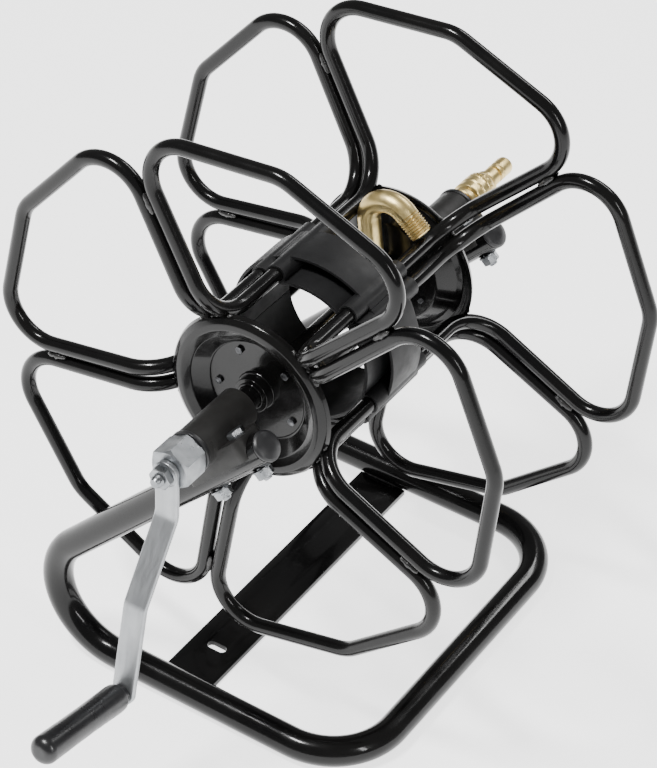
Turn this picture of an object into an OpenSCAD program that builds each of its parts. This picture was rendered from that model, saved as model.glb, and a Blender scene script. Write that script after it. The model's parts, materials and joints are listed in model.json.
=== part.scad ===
// Floor-standing hose reel. Two open discs of bent rod are joined by a moulded five-part drum and turn
// on a hollow axle, which lies in two bearing blocks on a bent-tube floor frame.
// The origin is on the floor, on the floor strap's middle line, midway between the two discs. X points
// to the front bar, Y along the axle away from the crank, and Z up.

/* [Discs] */
// Distance between the middle planes of the two discs
disc_spacing = 236; // [220:1:300]
// Diameter of the disc rod
rod_d = 12.7; // [10:0.1:14]
// Distance from the axle to the sharp corner at a petal's tip
petal_reach = 227; // [190:1:260]
// Distance from the axle to the sharp corner at a petal's shoulder
shoulder_reach = 234.5; // [195:0.5:262]
// Bend radius of a petal's three corners, to the middle of the rod
petal_bend_r = 35; // [25:1:45]
// Bend radius where a petal's leg turns along the drum, to the middle of the rod
hub_bend_r = 38; // [25:1:42]
// Radius of the circle on which the legs run along the drum
leg_circle_r = 68.5; // [60:0.5:85]
// Free space between two neighbouring legs at the hub
leg_gap = 3.1; // [1:0.1:5]
// Free space between two neighbouring petals at their shoulders
shoulder_gap = 0.4; // [0.3:0.1:4]
// Angle of the first petal above the line from the axle to the front
petal_turn = 153.9; // [0:0.1:360]

/* [Drum] */
// Wall of the sleeves round the legs
sleeve_wall = 2; // [1.2:0.1:3]
// Straight length of leg left bare between the crank-side bends and the drum
bare_near = 44; // [10:1:60]
// Straight length of leg left bare between the inlet-side bends and the drum
bare_far = 44; // [30:1:60]
// Thickness of the drum's outer skin
skin_t = 2.6; // [1.5:0.1:4]
// Distance by which the outer skin is set back from the ends of the sleeves
skin_setback = 16; // [6:1:22]
// Thickness of the drum's inner web
web_t = 3; // [2:0.1:4]
// Space between two neighbouring drum parts
seam_gap = 0.4; // [0.3:0.1:1]

/* [Hub flanges] */
// Distance by which a flange's edge stands outside the circle of the legs
flange_over = 2.2; // [0:0.1:6]
// Thickness of the flange sheet
flange_t = 2.5; // [1.5:0.1:3]
// Depth of the flange's dish
dish_depth = 14; // [8:1:15]
// Width of the flat rim round the dish
rim_w = 14.7; // [14:0.1:20]
// Width of the sloping wall of the dish
dish_wall_w = 11; // [8:0.5:14]
// Outer radius of the welded collar in the dish
collar_r = 15; // [13:0.5:20]
// Length of the welded collar in the dish
collar_l = 9; // [5:0.5:12]

/* [Axle] */
// Outer diameter of the axle tube
axle_d = 19; // [17:0.1:23]
// Inner diameter of the axle tube
axle_bore = 13; // [10:0.1:13.4]
// Distance of the axle in front of the strap's middle
axle_x = 32; // [0:1:60]
// Height of the axle above the floor
axle_z = 295; // [280:1:360]
// Running clearance of the axle in the bushes, on the radius
running_fit = 0.05; // [0.02:0.01:0.1]
// Gap between a fixed face and a turning face
end_gap = 0.4; // [0.3:0.1:1]

/* [Frame] */
// Outer diameter of the frame tube
tube_d = 25.4; // [22:0.1:28]
// Wall of the frame tube
tube_wall = 1.8; // [1.2:0.1:3]
// Bend radius of the frame tube, to its middle
frame_bend_r = 60; // [45:1:70]
// Distance from the crank-side disc's middle plane to the arm beside it
arm_offset_near = 42.5; // [40:0.5:60]
// Distance from the inlet-side disc's middle plane to the arm beside it
arm_offset_far = 51; // [40:0.5:60]
// Slope of the arms above the floor
arm_angle = 46.5; // [42:0.5:52]
// Distance from the axle to the middle of the arm tube under it
saddle_drop = 28; // [26:0.5:34]
// Length of the arm beyond the point under the axle
arm_beyond = 46; // [40:1:60]
// Distance of the front bar in front of the strap's middle
front_x = 175; // [150:1:230]
// Width of the floor strap
strap_w = 46; // [40:1:60]
// Thickness of the floor strap
strap_t = 5; // [4:0.5:8]
// Weld gap between the strap's ends and the tube
strap_gap = 0.4; // [0.3:0.1:1]
// Length of the two slots in the strap
slot_l = 18; // [12:1:26]
// Width of the two slots in the strap
slot_w = 8; // [5:0.5:10]
// Distance between the two slots
slot_spacing = 200; // [120:1:240]

/* [Bearing blocks] */
// Outer radius of a bearing barrel
barrel_r = 17; // [16:0.1:20]
// Length of the barrels from the arm's middle towards the discs
barrel_in = 40; // [32:1:41]
// Length of the crank-side barrel outwards from the arm's middle
barrel_out_near = 21.5; // [14:0.5:30]
// Length of the inlet-side barrel outwards from the arm's middle
barrel_out_far = 28; // [14:0.5:40]
// Length of a block's foot along the arm
foot_l = 78; // [74:1:90]
// Width of a block's foot across the arm
foot_w = 31; // [30:0.5:36]
// Thickness of the foot over the tube
foot_t = 4.3; // [3:0.1:8]
// Wall of a bearing bush
bush_wall = 2.5; // [1.5:0.1:3]
// Distance between a block's two bolts
bolt_spacing = 54; // [50:1:60]
// Diameter of the block bolts
bolt_d = 8; // [6:0.1:9]
// Width across flats of the bolt heads and nuts
bolt_flats = 13; // [12:0.1:14]

/* [Crank] */
// Width across flats of the crank hub
hub_flats = 32; // [28:0.5:36]
// Length of the crank hub
hub_l = 25; // [18:0.5:32]
// Radius of the thrust rings beside the bearing blocks
thrust_r = 17.8; // [15:0.1:20]
// Thickness of the thrust rings
thrust_t = 3.6; // [2:0.1:5]
// Width of the crank arm
arm_w = 20; // [18:0.5:26]
// Thickness of the crank arm
arm_t = 5; // [4:0.5:7]
// Distance from the axle to the grip's spindle
crank_r = 183; // [150:1:210]
// Distance by which the crank arm steps outwards
crank_step = 41; // [20:0.5:60]
// Lean of the crank arm's lower part, and so of the grip
grip_lean = 12; // [0:1:14]
// Diameter of the stud that holds the crank arm
stud_d = 10; // [8:0.1:10.5]
// Width across flats of the crank nut
nut_flats = 17; // [15:0.5:19]

/* [Grip] */
// Diameter of the grip
grip_d = 23.6; // [20:0.1:30]
// Length of the grip
grip_l = 104; // [80:1:130]
// Diameter of the grip's spindle
spindle_d = 8; // [6:0.1:9]

/* [Gooseneck] */
// Outer diameter of the gooseneck tube
neck_d = 18.6; // [16:0.1:18.8]
// Inner diameter of the gooseneck tube
neck_bore = 12; // [8:0.1:12.5]
// Free space between the gooseneck and the inlet-side flange's dish
neck_gap = 11.4; // [3.5:0.1:14]
// Length of the gooseneck's straight riser from the axle's middle
neck_rise = 62; // [45:1:64]
// Bend radius of the gooseneck, to its middle
neck_bend_r = 20; // [14:0.5:21]
// Backward lean of the gooseneck's riser
neck_lean = 8; // [0:1:9]
// Downward slope of the gooseneck's outlet
neck_fall = 40; // [36:1:48]

/* [Inlet] */
// Outer diameter of the inlet swivel
swivel_d = 28; // [26:0.5:34]
// Length of the inlet swivel
swivel_l = 40; // [32:1:50]
// Outer diameter of the inlet nipple
nipple_d = 16; // [13:0.1:18]
// Bore of the inlet nipple
nipple_bore = 9; // [6:0.1:11]
// Length of the nipple beyond the swivel
nipple_l = 32; // [20:1:40]

/* [Hidden] */
$fn = 64;
petals = 5;
join_l = 0.8;
join_lip = 0.04;
fit = 0.1;

// Discs, seen from the crank side in the axle's own frame
half_sector = 180 / petals;
disc_y = disc_spacing / 2;
leg_offset = (rod_d + leg_gap) / 2;
leg_seam_r = sqrt(pow(leg_circle_r, 2) - pow(leg_offset, 2));
leg_half_angle = half_sector - asin(leg_offset / leg_circle_r);
shoulder_offset = (rod_d + shoulder_gap) / 2;
bend_centre_y = disc_y - hub_bend_r;
drum_near = bend_centre_y - bare_near;
drum_far = bend_centre_y - bare_far;
rod_meet_y = (drum_far - drum_near) / 2;
rod_meet_gap = 2;

// Drum
sleeve_r = rod_d / 2 + sleeve_wall;
skin_outer_r = leg_circle_r + rod_d / 2 + 1.15;
web_outer_r = leg_circle_r - sleeve_r + 2.3;
rib_t = 3;

// Hub flanges: the rim rests against the outer side of the legs' bends
flange_r = leg_circle_r + flange_over;
dish_rim_r = flange_r - rim_w;
dish_floor_r = dish_rim_r - dish_wall_w;
bend_centre_r = leg_circle_r + hub_bend_r;
rim_clear = 0.5;
rim_y = bend_centre_y + rim_clear
    + sqrt(pow(hub_bend_r + rod_d / 2, 2) - pow(bend_centre_r - flange_r, 2));
dish_y = rim_y - dish_depth;
dish_round = 3;
flange_screw_r = 36;
flange_screws_n = 5;
flange_screw_d = 4;
flange_screw_flats = 6;

// Frame
arm_near_y = disc_y + arm_offset_near;
arm_far_y = disc_y + arm_offset_far;
tube_r = tube_d / 2;
arm_dir = [cos(arm_angle), 0, sin(arm_angle)];
arm_normal = [sin(arm_angle), 0, -cos(arm_angle)];
axle_point = [axle_x, 0, axle_z];
arm_foot = axle_point + saddle_drop * arm_normal;
heel_run = (arm_foot[2] - tube_r) / sin(arm_angle);
heel = arm_foot - heel_run * arm_dir;
arm_tip = arm_foot + arm_beyond * arm_dir;
strap_short = strap_gap + sqrt(pow(tube_r, 2) - pow(tube_r - strap_t, 2));
plug_insert = 14;
plug_rim_t = 2;
plug_dome_h = 4;

// Bearing blocks
bush_outer_r = axle_d / 2 + running_fit + bush_wall;
bush_flange_t = 1.6;
bush_flange_r = bush_outer_r + 2.5;
foot_top = tube_r + foot_t;
head_h = 5.3;
washer_t = 1.6;
washer_r = 8;
nut_h = 6.5;
bolt_end = 2.5;
bolt_grip = foot_top + tube_r + washer_t;

// Axle ends
near_stop = arm_near_y + barrel_out_near + end_gap;
far_stop = arm_far_y + barrel_out_far + end_gap;
hub_start = near_stop + thrust_t;
hub_end = hub_start + hub_l;
hub_cap = 7;
axle_near = hub_end - hub_cap;
stud_root_l = 55;
eye_t = arm_t + 2 * join_lip;
crank_y = hub_end + eye_t / 2;
crank_nut_h = 8;
crank_nut_flange_r = 10.8;
crank_nut_flange_t = 2;
stud_tip = hub_end + eye_t + crank_nut_h + 6;

// Crank arm, as points along its middle, from the eye down to the spindle
crank_upper = 42;
crank_step_drop = 63;
crank_bend_r = 16;
crank_low = crank_upper + crank_step_drop;
crank_end_r = arm_w / 2;
crank_turn_y = -crank_y - crank_step;
grip_dir = [0, -cos(grip_lean), sin(grip_lean)];
shank_dir = [0, -sin(grip_lean), -cos(grip_lean)];
shank_l = (crank_r - crank_low) / cos(grip_lean);
crank_turn = [0, crank_turn_y, -crank_low];
crank_eye = crank_turn + shank_l * shank_dir;

// Grip, along its own axis from the middle of the crank arm
grip_start = eye_t / 2 + end_gap;
grip_collar_r = grip_d / 2 - 3.2;
grip_collar_l = 6;
grip_end_round = 8;
spindle_l = grip_l - 12;
rivet_r = 7;
rivet_t = 2.4;

// Gooseneck
neck_y = dish_y - neck_gap - neck_d / 2;
neck_in = [-sin(neck_lean), 0, cos(neck_lean)];
neck_out = [cos(neck_fall), 0, -sin(neck_fall)];
neck_angle = 90 + neck_fall + neck_lean;
neck_corner = (neck_rise + neck_bend_r * tan(neck_angle / 2)) * neck_in;
neck_straight = 3;
neck_end = neck_corner + (neck_bend_r * tan(neck_angle / 2) + neck_straight) * neck_out;
ferrule_l = 18.5;
ferrule_ribs = 6;
ferrule_rib_h = 0.7;

// Inlet
stem_flats = 22;
stem_flange_t = 6;
stem_r = 7.5;
stem_l = 30;
stem_bore = 9;
seal_section = 2;
seal_places = [12, 20];
swivel_start = far_stop + thrust_t + stem_flange_t + end_gap;
swivel_end = swivel_start + swivel_l;
swivel_ribs = 5;
nipple_insert = 6;
nipple_step = 1.4;
barbs = 3;

near_petals = [for (i = [1 : petals]) str("near_petal_", i)];
far_petals = [for (i = [1 : petals]) str("far_petal_", i)];
drum_segments = [for (i = [1 : petals]) str("drum_segment_", i)];

function unit(v) = v / norm(v);

// The part of v that is square to u
function square_to(v, u) = unit(v - (v * u) * u);

// Puts children in a frame with the given place and X, Y and Z directions
module place(at, x, y, z)
    multmatrix([[x[0], y[0], z[0], at[0]], [x[1], y[1], z[1], at[1]], [x[2], y[2], z[2], at[2]], [0, 0, 0, 1]])
        children();

// Puts children with their Z along dir and their Y as near as can be to side
module along(at, dir, side = [0.31, 0.53, 0.79]) {
    y = square_to(side, dir);
    place(at, cross(y, dir), y, dir)
        children();
}

// Turns children so that their Z points along the axle
module on_axle() rotate([-90, 0, 0]) children();

// Moves children from the axle's frame to the reel's place
module at_axle() translate(axle_point) children();

// Sweeps a flat section along a path of straight runs with round bends at its inner points. The bends'
// section is larger by $lip, and each run goes a little way into them, so that the pieces join cleanly.
module sweep(points, bends, side = [0.31, 0.53, 0.79]) {
    last = len(points) - 1;
    runs = [for (i = [0 : last - 1]) unit(points[i + 1] - points[i])];
    trims = [for (i = [0 : last])
        (i == 0 || i == last) ? 0 : bends[i - 1] * tan(acos(runs[i - 1] * runs[i]) / 2)];
    for (i = [0 : last - 1]) {
        before = (i == 0) ? 0 : join_l;
        after = (i == last - 1) ? 0 : join_l;
        $lip = 0;
        along(points[i] + (trims[i] - before) * runs[i], runs[i], side)
            linear_extrude(norm(points[i + 1] - points[i]) - trims[i] - trims[i + 1] + before + after)
                children();
    }
    for (i = [1 : last - 1]) {
        inward = square_to(runs[i], runs[i - 1]);
        start = points[i] - trims[i] * runs[i - 1];
        $lip = join_lip;
        place(start + bends[i - 1] * inward, -inward, runs[i - 1], cross(-inward, runs[i - 1]))
            rotate_extrude(angle = acos(runs[i - 1] * runs[i]))
                translate([bends[i - 1], 0])
                    children();
    }
}

// Flat sections for sweep
module rod_section(d) circle(r = d / 2 + $lip);

module tube_section(outer_d, inner_d)
    difference() {
        circle(r = outer_d / 2 + $lip);
        circle(r = inner_d / 2 - $lip);
    }

module bar_section(x, y) square([x + 2 * $lip, y + 2 * $lip], center = true);

// Ring or disc about the axle between two places along it
module ring(y0, y1, outer_r, inner_r = 0)
    translate([0, y0, 0])
        on_axle()
            difference() {
                cylinder(h = y1 - y0, r = outer_r);
                if (inner_r > 0)
                    translate([0, 0, -1])
                        cylinder(h = y1 - y0 + 2, r = inner_r);
            }

// Hexagonal prism with a given width across its flats
module hex_bar(flats, h) cylinder(h = h, r = flats / sqrt(3), $fn = 6);

// Point at a distance along a seam between petals and an offset towards the petal's middle
function petal_point(reach, offset, side, y) =
    [reach * cos(half_sector) + offset * sin(half_sector), y,
     side * (reach * sin(half_sector) - offset * cos(half_sector))];

// One petal: a loop of rod with two legs that turn along the drum; dir is 1 towards the inlet
module petal(turn, dir) {
    foot_y = rod_meet_y + dir * rod_meet_gap / 2;
    half = [for (side = [-1, 1])
        [petal_point(leg_seam_r, leg_offset, side, foot_y),
         petal_point(leg_seam_r, leg_offset, side, dir * disc_y),
         petal_point(shoulder_reach, shoulder_offset, side, dir * disc_y)]];
    tip = [petal_reach, dir * disc_y, 0];
    at_axle()
        rotate([0, -turn, 0])
            sweep([half[0][0], half[0][1], half[0][2], tip, half[1][2], half[1][1], half[1][0]],
                  [hub_bend_r, petal_bend_r, petal_bend_r, petal_bend_r, hub_bend_r])
                rod_section(rod_d);
}

function petal_angle(i) = petal_turn - (i - 1) * 360 / petals;

module near_petal(i) color("#1b1b1d") petal(petal_angle(i), -1);

module far_petal(i) color("#1b1b1d") petal(petal_angle(i), 1);

// Flat sector of a drum part, between two radii, short of the seams by half their gap
module sector(outer_r, inner_r) {
    reach = 2 * outer_r;
    back = seam_gap / 2 / sin(half_sector);
    intersection() {
        difference() {
            circle(r = outer_r);
            circle(r = inner_r);
        }
        polygon([[back, 0],
                 [back + reach * cos(half_sector), reach * sin(half_sector)],
                 [back + reach * cos(half_sector), -reach * sin(half_sector)]]);
    }
}

// Extrudes a flat shape along the axle between two places
module span(y0, y1)
    translate([0, y0, 0])
        on_axle()
            linear_extrude(y1 - y0)
                children();

module drum_segment(i) {
    leg_at = leg_circle_r * [cos(leg_half_angle), sin(leg_half_angle)];
    color("#3a3b3d")
        at_axle()
            rotate([0, -petal_angle(i), 0])
                difference() {
                    union() {
                        span(-drum_near, drum_far)
                            intersection() {
                                union() {
                                    for (side = [-1, 1])
                                        translate([leg_at[0], side * leg_at[1]])
                                            circle(r = sleeve_r);
                                    sector(web_outer_r, web_outer_r - web_t);
                                }
                                sector(leg_circle_r + 2 * sleeve_r, web_outer_r - 2 * web_t);
                            }
                        span(-drum_near + skin_setback, drum_far - skin_setback)
                            sector(skin_outer_r, skin_outer_r - skin_t);
                        span(rod_meet_y - rib_t / 2, rod_meet_y + rib_t / 2)
                            sector(skin_outer_r - skin_t / 2, web_outer_r - web_t / 2);
                    }
                    for (side = [-1, 1])
                        translate([leg_at[0], -drum_near - 1, side * leg_at[1]])
                            on_axle()
                                cylinder(h = drum_near + drum_far + 2, r = rod_d / 2 + fit);
                }
}

// Dished flange, drawn for the inlet side: a floor, a sloping wall and a flat rim
module flange_form() {
    bore = axle_d / 2 + fit;
    on_axle()
        rotate_extrude()
            polygon([[bore, dish_y],
                     [dish_floor_r, dish_y],
                     [dish_floor_r + dish_round, dish_y + dish_round / 2],
                     [dish_rim_r - flange_t, rim_y - dish_round],
                     [dish_rim_r, rim_y],
                     [flange_r, rim_y],
                     [flange_r, rim_y + flange_t],
                     [dish_rim_r - flange_t, rim_y + flange_t],
                     [dish_rim_r - 2 * flange_t, rim_y + flange_t - dish_round],
                     [dish_floor_r - flange_t / 2 + dish_round / 2, dish_y + flange_t + dish_round / 2],
                     [dish_floor_r - flange_t, dish_y + flange_t],
                     [bore, dish_y + flange_t]]);
}

function screw_angle(i) = petal_turn + half_sector + i * 360 / flange_screws_n;

// Repeats children at the flange screws' places
module at_screws()
    for (i = [0 : flange_screws_n - 1])
        rotate([0, -screw_angle(i), 0])
            translate([flange_screw_r, 0, 0])
                children();

module hub_flange(dir)
    color("#1b1b1d")
        at_axle()
            mirror([0, dir < 0 ? 1 : 0, 0])
                difference() {
                    flange_form();
                    at_screws()
                        translate([0, dish_y - 1, 0])
                            on_axle()
                                cylinder(h = flange_t + 2, r = flange_screw_d / 2 + fit);
                }

module hub_flange_near() hub_flange(-1);

module hub_flange_far() hub_flange(1);

// Collar welded on the axle in the dish
module hub_collar(dir)
    color("#1b1b1d")
        at_axle()
            mirror([0, dir < 0 ? 1 : 0, 0])
                ring(dish_y + flange_t, dish_y + flange_t + collar_l, collar_r, axle_d / 2);

module hub_collar_near() hub_collar(-1);

module hub_collar_far() hub_collar(1);

module flange_screws() {
    head = 2.4;
    inside = 3;
    color("#b9bbbd")
        at_axle()
            for (m = [0, 1])
                mirror([0, m, 0])
                    at_screws()
                        translate([0, dish_y - inside, 0])
                            on_axle()
                                union() {
                                    cylinder(h = inside + flange_t, r = flange_screw_d / 2);
                                    translate([0, 0, inside + flange_t])
                                        hex_bar(flange_screw_flats, head);
                                }
}

module axle_tube()
    color("#8d8f92")
        at_axle()
            difference() {
                ring(-axle_near, far_stop + thrust_t, axle_d / 2, axle_bore / 2);
                along([0, neck_y, 0], neck_in)
                    cylinder(h = axle_d, r = neck_bore / 2);
            }

// Ring pinned to the axle beside a bearing block
module thrust_ring_near()
    color("#26272a")
        at_axle()
            ring(-hub_start, -near_stop, thrust_r, axle_d / 2);

module thrust_ring_far()
    color("#26272a")
        at_axle()
            ring(far_stop, far_stop + thrust_t, thrust_r, axle_d / 2);

module crank_hub() {
    chamfer_r = hub_flats / 2 + 1.2;
    color("#c3c6c9")
        at_axle()
            mirror([0, 1, 0])
                difference() {
                    translate([0, hub_start, 0])
                        on_axle()
                            intersection() {
                                rotate([0, 0, 30])
                                    hex_bar(hub_flats, hub_l);
                                cylinder(h = hub_l, r1 = chamfer_r + hub_l, r2 = chamfer_r);
                            }
                    ring(hub_start - 1, axle_near, axle_d / 2);
                    ring(hub_start, hub_end + 1, stud_d / 2 + fit);
                }
}

module crank_stud()
    color("#c3c6c9")
        at_axle()
            mirror([0, 1, 0])
                union() {
                    ring(axle_near - stud_root_l, axle_near, axle_bore / 2);
                    ring(axle_near - 1, stud_tip, stud_d / 2);
                }

module crank_nut()
    color("#c3c6c9")
        at_axle()
            mirror([0, 1, 0])
                translate([0, hub_end + eye_t, 0])
                    on_axle()
                        difference() {
                            union() {
                                cylinder(h = crank_nut_flange_t, r = crank_nut_flange_r);
                                hex_bar(nut_flats, crank_nut_h);
                            }
                            translate([0, 0, -1])
                                cylinder(h = crank_nut_h + 2, r = stud_d / 2);
                        }

// Round end of the crank arm, larger than the bar by the joining lip
module crank_eye_disc()
    cylinder(h = eye_t, r = crank_end_r + join_lip, center = true);

module crank_arm() {
    top = [0, -crank_y, 0];
    color("#c3c6c9")
        at_axle()
            difference() {
                union() {
                    along(top, [0, -1, 0])
                        crank_eye_disc();
                    sweep([top, [0, -crank_y, -crank_upper], crank_turn, crank_eye],
                          [crank_bend_r, crank_bend_r], [1, 0, 0])
                        bar_section(arm_t, arm_w);
                    along(crank_eye, grip_dir)
                        crank_eye_disc();
                }
                ring(-hub_end - eye_t - 1, -hub_end + 1, stud_d / 2 + fit);
                along(crank_eye - arm_t * grip_dir, grip_dir)
                    cylinder(h = 2 * arm_t, r = spindle_d / 2);
            }
}

// Puts children at the crank arm's lower eye, with Z along the grip
module at_grip() at_axle() along(crank_eye, grip_dir) children();

module grip_spindle()
    color("#c3c6c9")
        at_grip()
            union() {
                translate([0, 0, -eye_t / 2 - rivet_t])
                    cylinder(h = rivet_t, r = rivet_r);
                translate([0, 0, -eye_t / 2 - 1])
                    cylinder(h = spindle_l + eye_t / 2 + 1, r = spindle_d / 2);
            }

module crank_grip() {
    body_r = grip_d / 2;
    top = grip_start + grip_l;
    color("#17181a")
        at_grip()
            difference() {
                rotate_extrude()
                    union() {
                        translate([0, grip_start])
                            square([grip_collar_r, grip_collar_l + 1]);
                        translate([0, grip_start + grip_collar_l])
                            square([body_r, grip_l - grip_collar_l - grip_end_round]);
                        translate([0, grip_start + grip_l - grip_end_round - 1])
                            square([body_r - grip_end_round, grip_end_round + 1]);
                        intersection() {
                            translate([body_r - grip_end_round, top - grip_end_round])
                                circle(r = grip_end_round);
                            translate([0, top - grip_end_round])
                                square([body_r, grip_end_round]);
                        }
                    }
                translate([0, 0, grip_start - 1])
                    cylinder(h = spindle_l - grip_start + 2, r = spindle_d / 2 + running_fit);
            }
}

module gooseneck()
    color("#c8a24a")
        at_axle()
            translate([0, neck_y, 0])
                difference() {
                    sweep([[0, 0, 0], neck_corner, neck_end], [neck_bend_r], [0, 1, 0])
                        tube_section(neck_d, neck_bore);
                    translate([0, -neck_d, 0])
                        on_axle()
                            cylinder(h = 2 * neck_d, r = axle_d / 2);
                }

// Ribbed sleeve screwed on the gooseneck's outlet
module gooseneck_ferrule() {
    pitch = ferrule_l / ferrule_ribs;
    color("#c8a24a")
        at_axle()
            along([0, neck_y, 0] + neck_end, neck_out, [0, 1, 0])
                difference() {
                    union() {
                        cylinder(h = ferrule_l, r = neck_d / 2 - ferrule_rib_h);
                        for (i = [0 : ferrule_ribs - 1])
                            translate([0, 0, i * pitch])
                                cylinder(h = pitch / 2, r = neck_d / 2);
                    }
                    translate([0, 0, -1])
                        cylinder(h = ferrule_l + 2, r = neck_bore / 2);
                }
}

// Hexagon and spigot at the axle's inlet end, on which the swivel turns
module inlet_stem()
    color("#c8a24a")
        at_axle()
            translate([0, far_stop + thrust_t, 0])
                on_axle()
                    difference() {
                        union() {
                            hex_bar(stem_flats, stem_flange_t);
                            cylinder(h = stem_flange_t + stem_l, r = stem_r);
                        }
                        translate([0, 0, -1])
                            cylinder(h = stem_flange_t + stem_l + 2, r = stem_bore / 2);
                        for (z = seal_places)
                            translate([0, 0, stem_flange_t + z])
                                rotate_extrude()
                                    translate([stem_r - seal_section + 0.3, 0])
                                        square([seal_section, seal_section]);
                    }

module inlet_seals()
    color("#222222")
        at_axle()
            translate([0, far_stop + thrust_t + stem_flange_t, 0])
                on_axle()
                    for (z = seal_places)
                        translate([0, 0, z])
                            rotate_extrude()
                                translate([stem_r - seal_section + 0.3, 0])
                                    square([seal_section - 0.3, seal_section]);

module inlet_swivel() {
    pitch = swivel_l / swivel_ribs;
    rib_h = 1.6;
    color("#c8a24a")
        at_axle()
            translate([0, swivel_start, 0])
                on_axle()
                    difference() {
                        union() {
                            cylinder(h = swivel_l, r = swivel_d / 2 - rib_h);
                            for (i = [0 : swivel_ribs - 1])
                                translate([0, 0, i * pitch])
                                    cylinder(h = pitch * 0.6, r = swivel_d / 2);
                        }
                        translate([0, 0, -1])
                            cylinder(h = swivel_l - nipple_insert + 1, r = stem_r + running_fit);
                        translate([0, 0, swivel_l - nipple_insert - 1])
                            cylinder(h = nipple_insert + 2, r = nipple_d / 2 - nipple_step);
                    }
}

module inlet_nipple() {
    barb_l = nipple_l * 0.6 / barbs;
    color("#c8a24a")
        at_axle()
            translate([0, swivel_end - nipple_insert, 0])
                on_axle()
                    difference() {
                        union() {
                            translate([0, 0, nipple_insert])
                                cylinder(h = nipple_l * 0.3, r = nipple_d / 2);
                            cylinder(h = nipple_insert + nipple_l, r = nipple_d / 2 - nipple_step);
                            for (i = [0 : barbs - 1])
                                translate([0, 0, nipple_insert + nipple_l * 0.4 + i * barb_l])
                                    cylinder(h = barb_l, r1 = nipple_d / 2, r2 = nipple_d / 2 - nipple_step);
                        }
                        translate([0, 0, -1])
                            cylinder(h = nipple_insert + nipple_l + 2, r = nipple_bore / 2);
                    }
}

// Place of an arm along the axle; side is -1 on the crank side
function arm_at(side) = side < 0 ? -arm_near_y : arm_far_y;

// Repeats children at the bolts of both blocks, with Z away from the axle and zero at the tube's middle
module at_bolts()
    for (side = [-1, 1], end = [-1, 1])
        along(arm_foot + [0, arm_at(side), 0] + end * bolt_spacing / 2 * arm_dir, arm_normal, [0, 1, 0])
            children();

module frame_tube() {
    tip = [for (side = [-1, 1]) arm_tip + [0, arm_at(side), 0]];
    low = [for (side = [-1, 1]) heel + [0, arm_at(side), 0]];
    corner = [for (side = [-1, 1]) [front_x, arm_at(side), tube_r]];
    color("#1b1b1d")
        difference() {
            sweep([tip[0], low[0], corner[0], corner[1], low[1], tip[1]],
                  [frame_bend_r, frame_bend_r, frame_bend_r, frame_bend_r])
                tube_section(tube_d, tube_d - 2 * tube_wall);
            at_bolts()
                translate([0, 0, -tube_d])
                    cylinder(h = 2 * tube_d, r = bolt_d / 2 + fit);
        }
}

module floor_strap()
    color("#1b1b1d")
        difference() {
            translate([-strap_w / 2, strap_short - arm_near_y, 0])
                cube([strap_w, arm_near_y + arm_far_y - 2 * strap_short, strap_t]);
            for (side = [-1, 1])
                translate([0, side * slot_spacing / 2, -1])
                    linear_extrude(strap_t + 2)
                        union() {
                            square([slot_l - slot_w, slot_w], center = true);
                            for (end = [-1, 1])
                                translate([end * (slot_l - slot_w) / 2, 0])
                                    circle(d = slot_w);
                        }
        }

// Plug pressed into an arm's upper end, with a low dome outside
module tube_plug(side) {
    dome_r = (pow(tube_r, 2) + pow(plug_dome_h, 2)) / (2 * plug_dome_h);
    color("#17181a")
        along(arm_tip + [0, arm_at(side), 0], arm_dir)
            union() {
                translate([0, 0, -plug_insert])
                    cylinder(h = plug_insert + 1, r = tube_r - tube_wall);
                cylinder(h = plug_rim_t, r = tube_r);
                translate([0, 0, plug_rim_t])
                    intersection() {
                        cylinder(h = plug_dome_h, r = tube_r);
                        translate([0, 0, plug_dome_h - dome_r])
                            sphere(r = dome_r);
                    }
            }
}

module tube_plug_near() tube_plug(-1);

module tube_plug_far() tube_plug(1);

// Bearing barrel on a foot that saddles the arm; side is -1 on the crank side
module bearing_block(side, outward) {
    round_r = 9;
    web_l = 2 * barrel_r;
    color("#232427")
        difference() {
            union() {
                translate([0, arm_at(side), 0])
                    at_axle()
                        mirror([0, side < 0 ? 1 : 0, 0])
                            ring(-barrel_in, outward, barrel_r);
                along(arm_foot + [0, arm_at(side), 0], -arm_normal, [0, 1, 0]) {
                    linear_extrude(foot_top)
                        union() {
                            square([foot_l - 2 * round_r, foot_w], center = true);
                            square([foot_l, foot_w - 2 * round_r], center = true);
                            for (x = [-1, 1], y = [-1, 1])
                                translate([x * (foot_l / 2 - round_r), y * (foot_w / 2 - round_r)])
                                    circle(r = round_r);
                        }
                    linear_extrude(saddle_drop)
                        square([web_l, foot_w], center = true);
                }
            }
            along(arm_foot + [0, arm_at(side), 0] - foot_l * arm_dir, arm_dir)
                cylinder(h = 2 * foot_l, r = tube_r + fit);
            translate([0, arm_at(side), 0])
                at_axle()
                    mirror([0, side < 0 ? 1 : 0, 0])
                        ring(-barrel_in - 1, outward + 1, bush_outer_r);
            at_bolts()
                translate([0, 0, -2 * foot_top])
                    cylinder(h = 4 * foot_top, r = bolt_d / 2 + fit);
        }
}

module bearing_block_near() bearing_block(-1, barrel_out_near);

module bearing_block_far() bearing_block(1, barrel_out_far);

// Flanged bush pressed into a barrel from the disc side
module bearing_bush(side, outward)
    color("#d8d6cc")
        translate([0, arm_at(side), 0])
            at_axle()
                mirror([0, side < 0 ? 1 : 0, 0])
                    difference() {
                        union() {
                            ring(-barrel_in - bush_flange_t, -barrel_in, bush_flange_r);
                            ring(-barrel_in - 1, outward, bush_outer_r);
                        }
                        ring(-barrel_in - bush_flange_t - 1, outward + 1, axle_d / 2 + running_fit);
                    }

module bearing_bush_near() bearing_bush(-1, barrel_out_near);

module bearing_bush_far() bearing_bush(1, barrel_out_far);

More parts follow.
